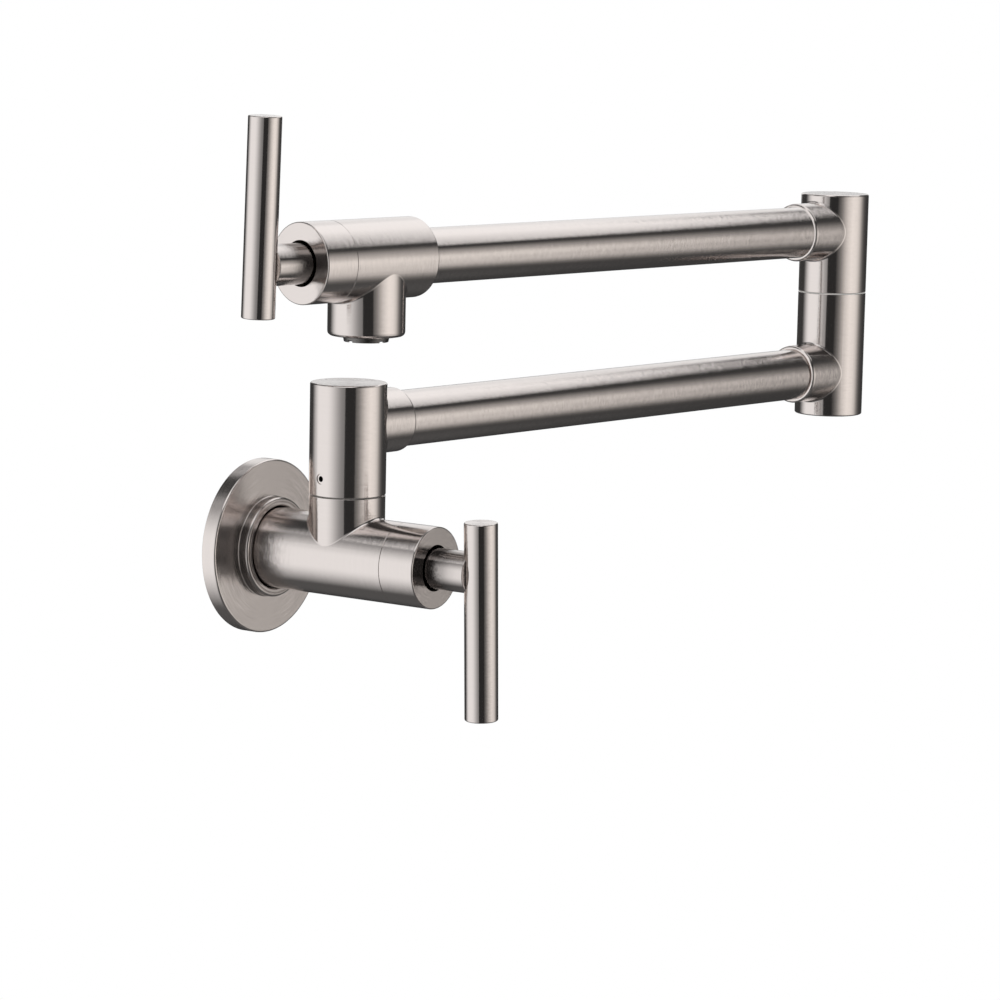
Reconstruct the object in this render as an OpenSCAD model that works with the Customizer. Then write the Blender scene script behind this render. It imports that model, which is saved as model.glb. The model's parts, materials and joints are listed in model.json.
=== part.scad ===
// Wall mounted pot filler: two folding arms on swivel joints, a lever valve at each end.
// The origin lies on the wall plane at the flange's centre.
// +X runs along the wall, +Y into the wall and +Z up. All lengths are millimetres.
// It is drawn as stored: the upper arm folded back over the lower one, both levers closed.

/* [Wall flange] */
// Radius of the flange plate
flange_r = 34.5; // [30:0.5:50]
// Thickness of the flange plate at its rim
flange_t = 6.5; // [5.5:0.5:10]
// Thickness of the plate's front wall
flange_wall = 2.5; // [2:0.1:3.5]
// Width of the rim that rests on the wall
flange_rim = 3.3; // [2:0.1:6]
// Rounding of the plate's front edge
flange_edge = 0.8; // [0.3:0.1:2]
// Width of the foam gasket behind the rim
gasket_w = 5; // [3:0.5:6]
// Thickness of the foam gasket
gasket_t = 1.5; // [1:0.1:2.5]
// Height of the hub above the plate
hub_len = 4.5; // [3:0.1:8]
// Radial thickness of the hub
hub_wall = 3.3; // [2.6:0.1:6]
// Radial gap between the hub's hole and the valve body
hub_gap = 0.5; // [0.3:0.1:0.8]

/* [Valve bodies] */
// Radius of both valve bodies and their bonnets
valve_r = 16; // [15.6:0.1:20]
// Radius of the inlet thread, at its pitch line
inlet_r = 10; // [8:0.1:11]
// Depth of the inlet thread
inlet_depth = 15; // [12:0.5:18]
// Radius of the water way before each valve seat
passage_r = 6; // [4:0.1:7]
// Radius of the water chamber round each cartridge
chamber_r = 10; // [9.5:0.1:11]
// Distance from the wall to the axis of the wall swivel
tee_reach = 44.4; // [40:0.2:70]
// Distance from the wall swivel's axis to the wall bonnet's seam
tee_front = 27.3; // [26:0.1:29]
// Height of the tee's top above the valve axis
tee_top = 24.4; // [22:0.1:40]
// Step in radius from the swivel housing to the tee below it
tee_step = 0.1; // [0:0.1:1]
// Radius of the riser bore inside the tee
riser_r = 7; // [5:0.1:8]
// Distance from the outlet's axis to the spout bonnet's seam
spout_front = 20.3; // [19:0.1:21.5]
// Distance from the outlet's axis to the spout valve's back end
spout_back = 24.3; // [23:0.1:40]
// Rounding of the spout valve's back edge
spout_edge = 0.8; // [0.3:0.1:2]

/* [Bonnets and cartridges] */
// Length of each bonnet sleeve
bonnet_len = 15.7; // [15:0.1:20]
// Thickness of the bonnet's front wall
bonnet_face = 4.4; // [3:0.1:5]
// Wall of the bonnet sleeve
bonnet_skin = 2; // [1.2:0.1:2.2]
// Radius of the hole round the lever's stem
bonnet_hole_r = 9.3; // [8.4:0.1:11]
// Rounding of the bonnet's front edge
bonnet_edge = 0.5; // [0.2:0.1:1.5]
// Length of the threaded neck inside each bonnet
neck_len = 5; // [3:0.1:6]
// Radius of the cartridge thread
cartridge_r = 12; // [11.6:0.1:12.2]
// Length of the cartridge thread behind the bonnet's seam
cartridge_thread = 8; // [6:0.5:10]
// Depth of the wall valve's seat behind the seam
wall_seat = 38; // [36:0.5:44]
// Depth of the spout valve's seat behind the seam
spout_seat = 29; // [28.5:0.1:30]
// Outer radius of the cartridge's barrel
barrel_r = 8.8; // [8.6:0.1:9.2]
// Bore of the cartridge's barrel round the discs
disc_bore_r = 7.5; // [7:0.1:7.8]
// Thickness of each ceramic disc
disc_t = 3.4; // [2.5:0.1:3.8]
// Height of the cartridge's hexagon
hex_t = 4.3; // [3:0.1:5]
// Corner radius of the cartridge's hexagon
hex_r = 13; // [12.4:0.1:13.2]

/* [Levers] */
// Radius of each lever's stem
stem_r = 8; // [7:0.1:8.3]
// Distance from the bonnet's face to the bar's axis
lever_reach = 21; // [20:0.1:30]
// Radius of each lever bar
bar_r = 6.5; // [5:0.1:7.5]
// Length of the bar on its long side of the stem's axis
bar_long = 57; // [30:1:100]
// Length of the bar on its short side of the stem's axis
bar_short = 20; // [10:0.5:40]
// Rounding of the bar's ends
bar_edge = 0.5; // [0.2:0.1:2]
// Depth of the bar's seat in the stem
saddle_depth = 3; // [1.5:0.1:4]
// Lean of the wall lever off plumb, in degrees
wall_lean = 2.2; // [0:0.1:10]
// Lean of the spout lever off plumb, in degrees
spout_lean = 2.1; // [0:0.1:10]

/* [Swivel joints] */
// Radius of the swivel housings
swivel_r = 15; // [14:0.1:20]
// Height of the housings that turn
swivel_h = 43.5; // [43.5:0.1:60]
// Distance from a turning housing's top to its arm's axis
collar_drop = 16.5; // [15:0.1:16.5]
// Rounding of the housings' ends
swivel_edge = 0.8; // [0.3:0.1:2]
// Radius of the collars that hold the arm tubes
collar_r = 12.7; // [12.3:0.1:14]
// Distance from the wall swivel's axis to its collar's end
wall_collar = 25.6; // [22:0.1:40]
// Distance from the elbow's axis to its collars' ends
elbow_collar = 28; // [22:0.1:40]
// Rounding of the collars' ends
collar_edge = 1.1; // [0.3:0.1:1.2]
// Height of the elbow's lower housing above the lower arm's axis
elbow_rise = 35.3; // [30:0.1:60]
// Depth of the elbow's lower housing below the lower arm's axis
elbow_foot = 19.3; // [17:0.1:30]
// Radius of the nipples that the housings turn on
nipple_r = 10; // [9.5:0.1:10.5]
// Bore of the nipples
nipple_bore = 6.5; // [4:0.1:6.8]
// Length of each nipple above the seam
nipple_len = 16.6; // [16.6:0.1:17]
// Length of each nipple's thread below the seam
nipple_thread = 11; // [8:0.5:12]
// Thickness of the washer under each turning housing
washer_t = 0.5; // [0.3:0.1:1]
// Height of the retaining screw above a turning housing's lower face
retainer_z = 6.8; // [5.5:0.1:6.8]

/* [Arms] */
// Distance from the wall swivel's axis to the elbow's axis
lower_arm = 308; // [200:1:400]
// Distance from the elbow's axis to the outlet's axis
upper_arm = 291.5; // [200:0.5:400]
// Outer radius of the arm tubes
tube_r = 11.1; // [10.6:0.1:11.3]
// Wall of the arm tubes
tube_wall = 1.2; // [0.8:0.1:2]
// Length of tube held in each socket
socket_depth = 12; // [8:0.5:12]
// Width of the groove round the tube at the mouth of each socket
mouth_w = 0.3; // [0:0.05:0.35]
// Depth of that groove
mouth_depth = 1.2; // [0.5:0.1:3]
// Angle of the lower arm off the wall, in degrees
lower_turn = 7.7; // [0:0.1:170]
// Turn of the upper arm from the lower arm's line, in degrees
fold_turn = 178.6; // [0:0.1:180]

/* [Outlet] */
// Radius of the outlet
outlet_r = 15.3; // [12.5:0.1:16]
// Length of the outlet below the upper arm's axis
outlet_len = 29.8; // [28.5:0.1:40]
// Rounding of the outlet's lower edge
outlet_edge = 1.8; // [0.5:0.1:2.5]
// Radius of the outlet's water way
outlet_bore = 6; // [4:0.1:6.5]
// Radius of the aerator thread
aerator_r = 9.3; // [8.5:0.1:9.6]
// Depth of the aerator's seat
aerator_depth = 10.5; // [9:0.1:12]
// Height that the aerator stands out of the outlet
aerator_proud = 2.3; // [0.5:0.1:3]

/* [Hidden] */
$fn = 72;
// Overrun of every cut past the face that it leaves by
over = 1;
// Radial clearance of a running fit
run_gap = 0.05;
// Clearance of a screwed, brazed or seated piece in its hole
seat_gap = 0.05;
// Flat clearance between two faces that slide on each other
slide_gap = 0.05;
// Bevel that breaks the edges of a seam between two sleeves
seam_edge = 0.2;
// Steps in the arc of a rounded edge
arc_steps = 4;

// Heights and places that follow from the driving sizes
wall_seam = tee_reach + tee_front;
swivel_bottom = tee_top + washer_t;
collar_rise = swivel_h - collar_drop;
lower_z = swivel_bottom + collar_rise;
elbow_seam = lower_z + elbow_rise;
elbow_top_base = elbow_seam + washer_t;
upper_z = elbow_top_base + collar_rise;
tee_r = swivel_r - tee_step;
hub_hole = valve_r + hub_gap;
hub_r = hub_hole + hub_wall;
neck_r = valve_r - bonnet_skin - seat_gap;
tube_in = tube_r - tube_wall;
socket_r = tube_r + seat_gap;
stem_start = bonnet_len - bonnet_face + seat_gap;
bar_axis = bonnet_len + lever_reach;

// Wall left closed at the blind end of a swivel housing
blind_wall = 5;

// O-rings: section radius, and depth and width of their grooves
seal_r = 0.75;
seal_groove = 1.5;
seal_width = 2;
// Places of the swivel o-rings above the retaining groove
seal_step = 3.5;
// Retaining groove of the nipples and point of the screw that runs in it
retainer_groove = 1.2;
retainer_width = 3.4;
retainer_tip_r = 1.4;
retainer_tip_len = 0.9;
// Small socket screws: radius, depth of the hexagon, corner radius of the hexagon
screw_r = 2;
screw_hex_r = 1.15;
screw_hex_depth = 1.6;
screw_sunk = 0.4;

// Washers under the turning housings: the wall one lies back in the seam, the elbow one shows
wall_washer_inset = 1.6;
elbow_washer_inset = 0.15;

// Inside of the cartridge, counted from its seat
seal_ring_t = 2.4;
seal_ring_w = 1.6;
barrel_start = 0.6;
foot_t = 2.4;
foot_gap = 0.3;
window_w = 8;
guide_r = 5.4;
groove_from_seam = 3;
disc_hub_share = 0.22;
disc_port_share = 0.78;
disc_port_angle = 74;
disc_port_steps = 8;
drive_w = 3;
drive_depth = 1.2;

// Spline between spindle and stem
spline_r = 3.9;
spline_root = 3.5;
spline_teeth = 14;
clip_t = 0.8;
clip_r = 6.2;
clip_groove = 0.5;
clip_mouth = 3;
// Web of the stem that the bar screw clamps, and that screw's head
web_t = 3.2;
head_r = 3.3;
head_t = 2.2;
bar_thread = 6;

// Aerator
aerator_lip = 1.3;
aerator_notch_w = 2.4;
aerator_notch_depth = 0.9;
aerator_notches = 4;
aerator_taper = 0.5;
insert_t = 4;
insert_sunk = 0.4;
jet_r = 0.5;
jet_pitch = 1.9;
jet_rings = 3;
aerator_washer_t = 1.5;

// Colours
steel = [0.72, 0.70, 0.68];
brass = [0.80, 0.66, 0.34];
ceramic = [0.93, 0.92, 0.88];
rubber = [0.12, 0.12, 0.13];
nylon = [0.88, 0.88, 0.86];
dark_steel = [0.30, 0.30, 0.31];
grey_plastic = [0.35, 0.35, 0.36];

// Quarter arc of a rounded edge, round the point [x, y]
function arc(x, y, radius, from, to) = [
  for (i = [0:arc_steps])
    let (a = from + (to - from) * i / arc_steps)
      [x + radius * cos(a), y + radius * sin(a)]
];

// Outline of a port between two radii, as wide as angle
function port(r0, r1, angle) = concat(
  [for (i = [0:disc_port_steps]) let (a = angle * (i / disc_port_steps - 0.5)) [r1 * cos(a), r1 * sin(a)]],
  [for (i = [0:disc_port_steps]) let (a = angle * (0.5 - i / disc_port_steps)) [r0 * cos(a), r0 * sin(a)]]
);

// Outline of a spline with pointed teeth
function spline(outer, root) = [
  for (i = [0:2 * spline_teeth - 1])
    let (a = 180 * i / spline_teeth, r = i % 2 == 0 ? outer : root)
      [r * cos(a), r * sin(a)]
];

// Solid cylinder whose lower and upper edges are rounded
module turned(r, h, low, high) {
  rotate_extrude()
    polygon(concat([[0, 0]], arc(r - low, low, low, -90, 0), arc(r - high, h - high, high, 0, 90), [[0, h]]));
}

module ring(outer, inner, h) {
  difference() {
    cylinder(r = outer, h = h);
    translate([0, 0, -over])
      cylinder(r = inner, h = h + 2 * over);
  }
}

// O-ring lying on a groove floor of the given radius
module o_ring(floor_r) {
  rotate_extrude()
    translate([floor_r + seat_gap / 2 + seal_r, 0])
      circle(r = seal_r);
}

// Cylinder from a low to a high place on the Z axis
module bore(r, low, high) {
  translate([0, 0, low])
    cylinder(r = r, h = high - low);
}

module along_x() {
  rotate([0, 90, 0])
    children();
}

// Frames. In a valve's frame Z runs out of the bonnet from its seam and Y is up.
module off_wall() {
  rotate([90, 0, 0])
    children();
}

module at_wall_valve() {
  translate([0, -wall_seam, 0])
    off_wall()
      children();
}

module at_wall_lever() {
  at_wall_valve()
    rotate([0, 0, 180 + wall_lean])
      children();
}

// In an arm's frame X runs along the arm from the joint that carries it.
module at_wall_swivel() {
  translate([0, -tee_reach, 0])
    rotate([0, 0, -lower_turn])
      children();
}

module at_lower_elbow() {
  at_wall_swivel()
    translate([lower_arm, 0, 0])
      rotate([0, 0, 180])
        children();
}

module at_upper_arm() {
  at_wall_swivel()
    translate([lower_arm, 0, 0])
      rotate([0, 0, fold_turn])
        children();
}

module at_spout_valve() {
  at_upper_arm()
    translate([upper_arm + spout_front, 0, upper_z])
      rotate([90, 0, 90])
        children();
}

module at_spout_lever() {
  at_spout_valve()
    rotate([0, 0, -spout_lean])
      children();
}

// Flange plate with its hub, turned in one piece
module wall_flange() {
  rim_in = flange_r - flange_rim;
  floor_z = flange_t - flange_wall;
  top_z = flange_t + hub_len;
  groove_z = (floor_z + top_z) / 2;
  groove_r = valve_r + 2 * seal_r + seat_gap;
  color(steel)
    off_wall()
      rotate_extrude()
        polygon(concat(
          [[rim_in, 0], [flange_r, 0]],
          arc(flange_r - flange_edge, flange_t - flange_edge, flange_edge, 0, 90),
          [[hub_r, flange_t]],
          arc(hub_r - flange_edge, top_z - flange_edge, flange_edge, 0, 90),
          [[hub_hole + hub_gap, top_z], [hub_hole, top_z - hub_gap]],
          [[hub_hole, groove_z + seal_width / 2], [groove_r, groove_z + seal_width / 2]],
          [[groove_r, groove_z - seal_width / 2], [hub_hole, groove_z - seal_width / 2]],
          [[hub_hole, floor_z], [rim_in - gasket_w, floor_z]],
          [[rim_in - gasket_w, gasket_t], [rim_in, gasket_t]]
        ));
}

module flange_o_ring() {
  color(rubber)
    off_wall()
      translate([0, 0, flange_t + (hub_len - flange_wall) / 2])
        o_ring(valve_r);
}

module wall_gasket() {
  color(rubber)
    off_wall()
      ring(flange_r - flange_rim - seat_gap, flange_r - flange_rim - gasket_w + seat_gap, gasket_t);
}

// Seat, chamber and thread that every cartridge goes into, in a valve's frame
module cartridge_cavity(seat) {
  bore(chamber_r, -seat, -cartridge_thread + over);
  bore(cartridge_r, -cartridge_thread, neck_len + over);
}

// Outside of a valve body up to its neck, as long as back behind the seam
module valve_barrel(back, back_edge) {
  translate([0, 0, -back])
    turned(valve_r, back, back_edge, seam_edge);
  bore(neck_r, -over, neck_len);
}

module wall_valve_body() {
  color(steel)
    difference() {
      union() {
        at_wall_valve()
          valve_barrel(wall_seam, seam_edge);
        at_wall_swivel()
          turned(tee_r, tee_top, seam_edge, seam_edge);
      }
      at_wall_valve()
        cartridge_cavity(wall_seat);
      off_wall() {
        bore(inlet_r, -over, inlet_depth);
        bore(passage_r, 0, wall_seam - wall_seat + over);
      }
      at_wall_swivel() {
        bore(riser_r, 0, tee_top);
        bore(nipple_r, tee_top - nipple_thread - seat_gap, tee_top + over);
      }
    }
}

// Sleeve over the cartridge, screwed on the neck
module bonnet() {
  difference() {
    turned(valve_r, bonnet_len, seam_edge, bonnet_edge);
    bore(valve_r - bonnet_skin, -over, bonnet_len - bonnet_face);
    bore(bonnet_hole_r, -over, bonnet_len + over);
  }
}

// Heights inside a cartridge in its valve's frame, from the seat's depth
function fixed_z(seat) = seal_ring_t - seat;
function turning_z(seat) = fixed_z(seat) + disc_t + slide_gap;
function foot_z(seat) = turning_z(seat) + disc_t;
function guide_z(seat) = foot_z(seat) + foot_t + foot_gap;

// Brass housing of a quarter-turn cartridge: barrel with two windows, thread and hexagon
module cartridge(seat) {
  difference() {
    union() {
      bore(barrel_r, barrel_start - seat, 0);
      bore(cartridge_r - seat_gap, -cartridge_thread + seat_gap, neck_len);
      translate([0, 0, neck_len])
        cylinder(r = hex_r, h = hex_t, $fn = 6);
    }
    bore(disc_bore_r, -seat, guide_z(seat));
    bore(guide_r + run_gap, -seat, neck_len + hex_t + over);
    translate([-window_w / 2, -barrel_r - over, turning_z(seat)])
      cube([window_w, 2 * (barrel_r + over), guide_z(seat) - turning_z(seat)]);
  }
}

module cartridge_seal(seat) {
  translate([0, 0, -seat])
    ring(disc_bore_r - seat_gap, disc_bore_r - seal_ring_w, seal_ring_t);
}

// Ceramic disc with two opposite ports
module ceramic_disc(r) {
  linear_extrude(height = disc_t)
    difference() {
      circle(r = r);
      for (side = [0, 180])
        rotate(side)
          polygon(port(disc_hub_share * disc_bore_r, disc_port_share * disc_bore_r, disc_port_angle));
    }
}

module fixed_disc(seat) {
  translate([0, 0, fixed_z(seat)])
    ceramic_disc(disc_bore_r - seat_gap);
}

// The turning disc closes the fixed ports; the spindle's key drives it through a slot
module turning_disc(seat) {
  translate([0, 0, turning_z(seat)])
    difference() {
      rotate(90)
        ceramic_disc(disc_bore_r - run_gap);
      translate([-drive_w / 2, -disc_bore_r, disc_t - drive_depth])
        cube([drive_w, 2 * disc_bore_r, drive_depth + over]);
    }
}

module spindle(seat) {
  groove_z = -groove_from_seam;
  clip_z = neck_len + hex_t;
  guide_top = clip_z - slide_gap;
  head_z = bar_axis - bar_r - web_t - head_t;
  difference() {
    union() {
      bore(disc_bore_r - run_gap - foot_gap, foot_z(seat), foot_z(seat) + foot_t);
      bore(guide_r, foot_z(seat), guide_top);
      translate([0, 0, guide_top])
        linear_extrude(height = head_z - foot_gap - guide_top)
          polygon(spline(spline_r, spline_root));
      intersection() {
        bore(disc_bore_r - foot_gap - run_gap, foot_z(seat) - drive_depth + seat_gap, foot_z(seat) + foot_t);
        translate([-drive_w / 2 + seat_gap, -disc_bore_r, foot_z(seat) - drive_depth + seat_gap])
          cube([drive_w - 2 * seat_gap, 2 * disc_bore_r, drive_depth + foot_t / 2]);
      }
    }
    translate([0, 0, groove_z - seal_width / 2])
      ring(guide_r + over, guide_r - seal_groove, seal_width);
    translate([0, 0, clip_z])
      ring(spline_r + over, spline_root - clip_groove, clip_t + 2 * slide_gap);
  }
}

module spindle_o_ring() {
  translate([0, 0, -groove_from_seam])
    o_ring(guide_r - seal_groove);
}

// Open clip that keeps the spindle in its housing
module spindle_clip() {
  translate([0, 0, neck_len + hex_t + slide_gap])
    difference() {
      ring(clip_r, spline_root - clip_groove + seat_gap, clip_t);
      translate([0, -clip_mouth / 2, -over])
        cube([clip_r + over, clip_mouth, clip_t + 2 * over]);
    }
}

// Round stem with a splined bore, a saddle for the bar and a hole for the screw.
// In a lever's frame the bar's long side points along +Y.
module lever_stem(screw_turn) {
  end_z = bar_axis - bar_r + saddle_depth;
  web_z = bar_axis - bar_r - web_t;
  difference() {
    translate([0, 0, stem_start])
      turned(stem_r, end_z - stem_start, seam_edge, seam_edge);
    translate([0, 0, stem_start - over])
      linear_extrude(height = web_z - stem_start + over)
        polygon(spline(spline_r + seat_gap, spline_root + seat_gap));
    bore(screw_r + seat_gap, web_z - over, end_z + over);
    translate([0, bar_short + bar_long, bar_axis])
      rotate([90, 0, 0])
        cylinder(r = bar_r + seat_gap, h = 2 * (bar_short + bar_long));
    at_lever_screw(screw_turn)
      bore(screw_r + seat_gap, 0, stem_r + over);
  }
}

// The grub screw sits midway between the bonnet's face and the bar
module at_lever_screw(screw_turn) {
  translate([0, 0, (bonnet_len + bar_axis - bar_r) / 2])
    rotate([90, 0, screw_turn])
      children();
}

module lever_bar() {
  difference() {
    translate([0, -bar_short, bar_axis])
      rotate([-90, 0, 0])
        turned(bar_r, bar_short + bar_long, bar_edge, bar_edge);
    bore(screw_r, bar_axis - bar_r - over, bar_axis - bar_r + bar_thread);
  }
}

// Screw that clamps the bar on the stem from inside the splined bore
module bar_screw() {
  web_z = bar_axis - bar_r - web_t;
  difference() {
    union() {
      bore(head_r, web_z - head_t, web_z);
      bore(screw_r - seat_gap, web_z, bar_axis - bar_r + bar_thread - seat_gap);
    }
    translate([0, 0, web_z - head_t - over])
      cylinder(r = screw_hex_r, h = screw_hex_depth + over, $fn = 6);
  }
}

// Grub screw from a point to a sunk head, along +Z, with a hexagon socket
module grub_screw(low, high) {
  difference() {
    bore(screw_r, low, high);
    translate([0, 0, high - screw_hex_depth])
      cylinder(r = screw_hex_r, h = screw_hex_depth + over, $fn = 6);
  }
}

module lever_screw(screw_turn) {
  at_lever_screw(screw_turn)
    grub_screw(spline_r + seat_gap, stem_r - screw_sunk);
}

// Nipple that a housing turns on, from its thread below the seam to its top
module nipple() {
  difference() {
    union() {
      bore(nipple_r - seat_gap, -nipple_thread, 0);
      bore(nipple_r - run_gap, -over, washer_t + nipple_len);
    }
    bore(nipple_bore, -nipple_thread - over, washer_t + nipple_len + over);
    translate([0, 0, washer_t + retainer_z - retainer_width / 2])
      ring(nipple_r + over, nipple_r - retainer_groove, retainer_width);
    for (i = [1, 2])
      translate([0, 0, washer_t + retainer_z + retainer_width / 2 + i * seal_step - seal_step / 2 - seal_width / 2])
        ring(nipple_r + over, nipple_r - seal_groove - run_gap, seal_width);
  }
}

module nipple_o_rings() {
  for (i = [1, 2])
    translate([0, 0, washer_t + retainer_z + retainer_width / 2 + i * seal_step - seal_step / 2])
      o_ring(nipple_r - seal_groove - run_gap);
}

module swivel_washer(inset) {
  ring(swivel_r - inset, nipple_r + seat_gap, washer_t - slide_gap);
}

// Socket for an arm tube in a collar or body end, with the water way behind it
module tube_socket(end) {
  along_x() {
    bore(socket_r, end - socket_depth, end + over);
    bore(socket_r + mouth_w, end - mouth_depth, end + over);
    bore(tube_in, 0, end);
  }
}

// Housing that turns on a nipple, closed on top, with its collar along +X
module turning_housing(reach) {
  difference() {
    union() {
      turned(swivel_r, swivel_h, seam_edge, swivel_edge);
      translate([0, 0, collar_rise])
        along_x()
          turned(collar_r, reach, collar_edge, collar_edge);
    }
    bore(nipple_r, -over, swivel_h - blind_wall);
    translate([0, 0, collar_rise])
      tube_socket(reach);
    translate([0, 0, retainer_z])
      rotate([0, -90, 0])
        bore(screw_r + seat_gap, nipple_r - over, swivel_r + over);
  }
}

// Screw in a turning housing whose point runs in the nipple's groove
module retaining_screw() {
  translate([0, 0, retainer_z])
    rotate([0, -90, 0])
      union() {
        grub_screw(nipple_r + seat_gap, swivel_r - screw_sunk);
        bore(retainer_tip_r, nipple_r - retainer_tip_len, nipple_r + over);
      }
}

// Thin tube between two sockets, in an arm's frame
module arm_tube(from, to) {
  along_x()
    translate([0, 0, from])
      ring(tube_r, tube_in, to - from);
}

module wall_bonnet() {
  color(steel)
    at_wall_valve()
      bonnet();
}

module wall_cartridge() {
  color(brass)
    at_wall_valve()
      cartridge(wall_seat);
}

module wall_cartridge_seal() {
  color(rubber)
    at_wall_valve()
      cartridge_seal(wall_seat);
}

module wall_fixed_disc() {
  color(ceramic)
    at_wall_valve()
      fixed_disc(wall_seat);
}

module wall_turning_disc() {
  color(ceramic)
    at_wall_lever()
      turning_disc(wall_seat);
}

module wall_spindle() {
  color(brass)
    at_wall_lever()
      spindle(wall_seat);
}

module wall_spindle_o_ring() {
  color(rubber)
    at_wall_lever()
      spindle_o_ring();
}

module wall_spindle_clip() {
  color(dark_steel)
    at_wall_lever()
      spindle_clip();
}

module wall_lever_stem() {
  color(steel)
    at_wall_lever()
      lever_stem(180);
}

module wall_lever_bar() {
  color(steel)
    at_wall_lever()
      lever_bar();
}

module wall_bar_screw() {
  color(dark_steel)
    at_wall_lever()
      bar_screw();
}

module wall_lever_screw() {
  color(dark_steel)
    at_wall_lever()
      lever_screw(180);
}

module wall_swivel_nipple() {
  color(brass)
    at_wall_swivel()
      translate([0, 0, tee_top])
        nipple();
}

module wall_swivel_o_rings() {
  color(rubber)
    at_wall_swivel()
      translate([0, 0, tee_top])
        nipple_o_rings();
}

module wall_swivel_washer() {
  color(nylon)
    at_wall_swivel()
      translate([0, 0, tee_top])
        swivel_washer(wall_washer_inset);
}

module wall_swivel_housing() {
  color(steel)
    at_wall_swivel()
      translate([0, 0, swivel_bottom])
        turning_housing(wall_collar);
}

module wall_swivel_screw() {
  color(steel)
    at_wall_swivel()
      translate([0, 0, swivel_bottom])
        retaining_screw();
}

module lower_arm_tube() {
  color(steel)
    at_wall_swivel()
      translate([0, 0, lower_z])
        arm_tube(wall_collar - socket_depth + seat_gap, lower_arm - elbow_collar + socket_depth - seat_gap);
}

// Lower half of the elbow, closed below, with the nipple screwed into its top
module elbow_lower_housing() {
  color(steel)
    at_lower_elbow()
      translate([0, 0, lower_z])
        difference() {
          union() {
            translate([0, 0, -elbow_foot])
              turned(swivel_r, elbow_foot + elbow_rise, swivel_edge, seam_edge);
            along_x()
              turned(collar_r, elbow_collar, collar_edge, collar_edge);
          }
          bore(riser_r, blind_wall - elbow_foot, elbow_rise);
          bore(nipple_r, elbow_rise - nipple_thread - seat_gap, elbow_rise + over);
          tube_socket(elbow_collar);
        }
}

module elbow_nipple() {
  color(brass)
    at_upper_arm()
      translate([0, 0, elbow_seam])
        nipple();
}

module elbow_o_rings() {
  color(rubber)
    at_upper_arm()
      translate([0, 0, elbow_seam])
        nipple_o_rings();
}

module elbow_washer() {
  color(nylon)
    at_upper_arm()
      translate([0, 0, elbow_seam])
        swivel_washer(elbow_washer_inset);
}

module elbow_upper_housing() {
  color(steel)
    at_upper_arm()
      translate([0, 0, elbow_top_base])
        turning_housing(elbow_collar);
}

module elbow_screw() {
  color(steel)
    at_upper_arm()
      translate([0, 0, elbow_top_base])
        retaining_screw();
}

module upper_arm_tube() {
  color(steel)
    at_upper_arm()
      translate([0, 0, upper_z])
        arm_tube(elbow_collar - socket_depth + seat_gap, upper_arm - spout_back + socket_depth - seat_gap);
}

// Spout valve: horizontal body with the outlet below it
module spout_valve_body() {
  color(steel)
    difference() {
      union() {
        at_spout_valve()
          valve_barrel(spout_front + spout_back, spout_edge);
        at_outlet()
          turned(outlet_r, outlet_len, outlet_edge, seam_edge);
      }
      at_spout_valve() {
        cartridge_cavity(spout_seat);
        bore(passage_r, -spout_front - spout_back, over - spout_seat);
        bore(socket_r, -spout_front - spout_back - over, socket_depth - spout_front - spout_back);
        bore(socket_r + mouth_w, -spout_front - spout_back - over, mouth_depth - spout_front - spout_back);
      }
      at_outlet() {
        bore(outlet_bore, 0, outlet_len);
        bore(aerator_r, -over, aerator_depth);
      }
    }
}

// Frame of the outlet: Z runs up from its lower end
module at_outlet() {
  at_upper_arm()
    translate([upper_arm, 0, upper_z - outlet_len])
      children();
}

module spout_bonnet() {
  color(steel)
    at_spout_valve()
      bonnet();
}

module spout_cartridge() {
  color(brass)
    at_spout_valve()
      cartridge(spout_seat);
}

module spout_cartridge_seal() {
  color(rubber)
    at_spout_valve()
      cartridge_seal(spout_seat);
}

module spout_fixed_disc() {
  color(ceramic)
    at_spout_valve()
      fixed_disc(spout_seat);
}

module aerator_washer() {
  color(rubber)
    at_outlet()
      translate([0, 0, aerator_depth - aerator_washer_t])
        ring(aerator_r - seat_gap, outlet_bore, aerator_washer_t);
}

// Plastic core with rings of fine jets
module aerator_insert() {
  color(grey_plastic)
    at_outlet()
      difference() {
        bore(aerator_r - aerator_lip - seat_gap, insert_sunk - aerator_proud, insert_sunk - aerator_proud + insert_t);
        for (k = [0:jet_rings])
          for (i = [0:max(6 * k, 1) - 1])
            rotate([0, 0, 60 * i / max(k, 1)])
              translate([k * jet_pitch, 0, -aerator_proud])
                cylinder(r = jet_r, h = insert_t + insert_sunk + over, $fn = 16);
      }
}

// Threaded shell with key notches in its lower edge
module aerator_shell() {
  color(dark_steel)
    at_outlet()
      difference() {
        union() {
          bore(aerator_r - seat_gap, 0, aerator_depth - aerator_washer_t);
          translate([0, 0, -aerator_proud])
            cylinder(r1 = aerator_r - seat_gap - aerator_taper, r2 = aerator_r - seat_gap, h = aerator_proud);
        }
        bore(aerator_r - aerator_lip, -aerator_proud - over, insert_sunk - aerator_proud + insert_t);
        bore(outlet_bore, 0, aerator_depth);
        for (i = [0:aerator_notches - 1])
          rotate([0, 0, 360 * i / aerator_notches])
            translate([aerator_r - aerator_lip - over, -aerator_notch_w / 2, -aerator_proud - over])
              cube([aerator_lip + 2 * over, aerator_notch_w, aerator_notch_depth + over]);
      }
}

module spout_turning_disc() {
  color(ceramic)
    at_spout_lever()
      turning_disc(spout_seat);
}

module spout_spindle() {
  color(brass)
    at_spout_lever()
      spindle(spout_seat);
}

module spout_spindle_o_ring() {
  color(rubber)
    at_spout_lever()
      spindle_o_ring();
}

module spout_spindle_clip() {
  color(dark_steel)
    at_spout_lever()
      spindle_clip();
}

module spout_lever_stem() {
  color(steel)
    at_spout_lever()
      lever_stem(0);
}

module spout_lever_bar() {
  color(steel)
    at_spout_lever()
      lever_bar();
}

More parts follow.
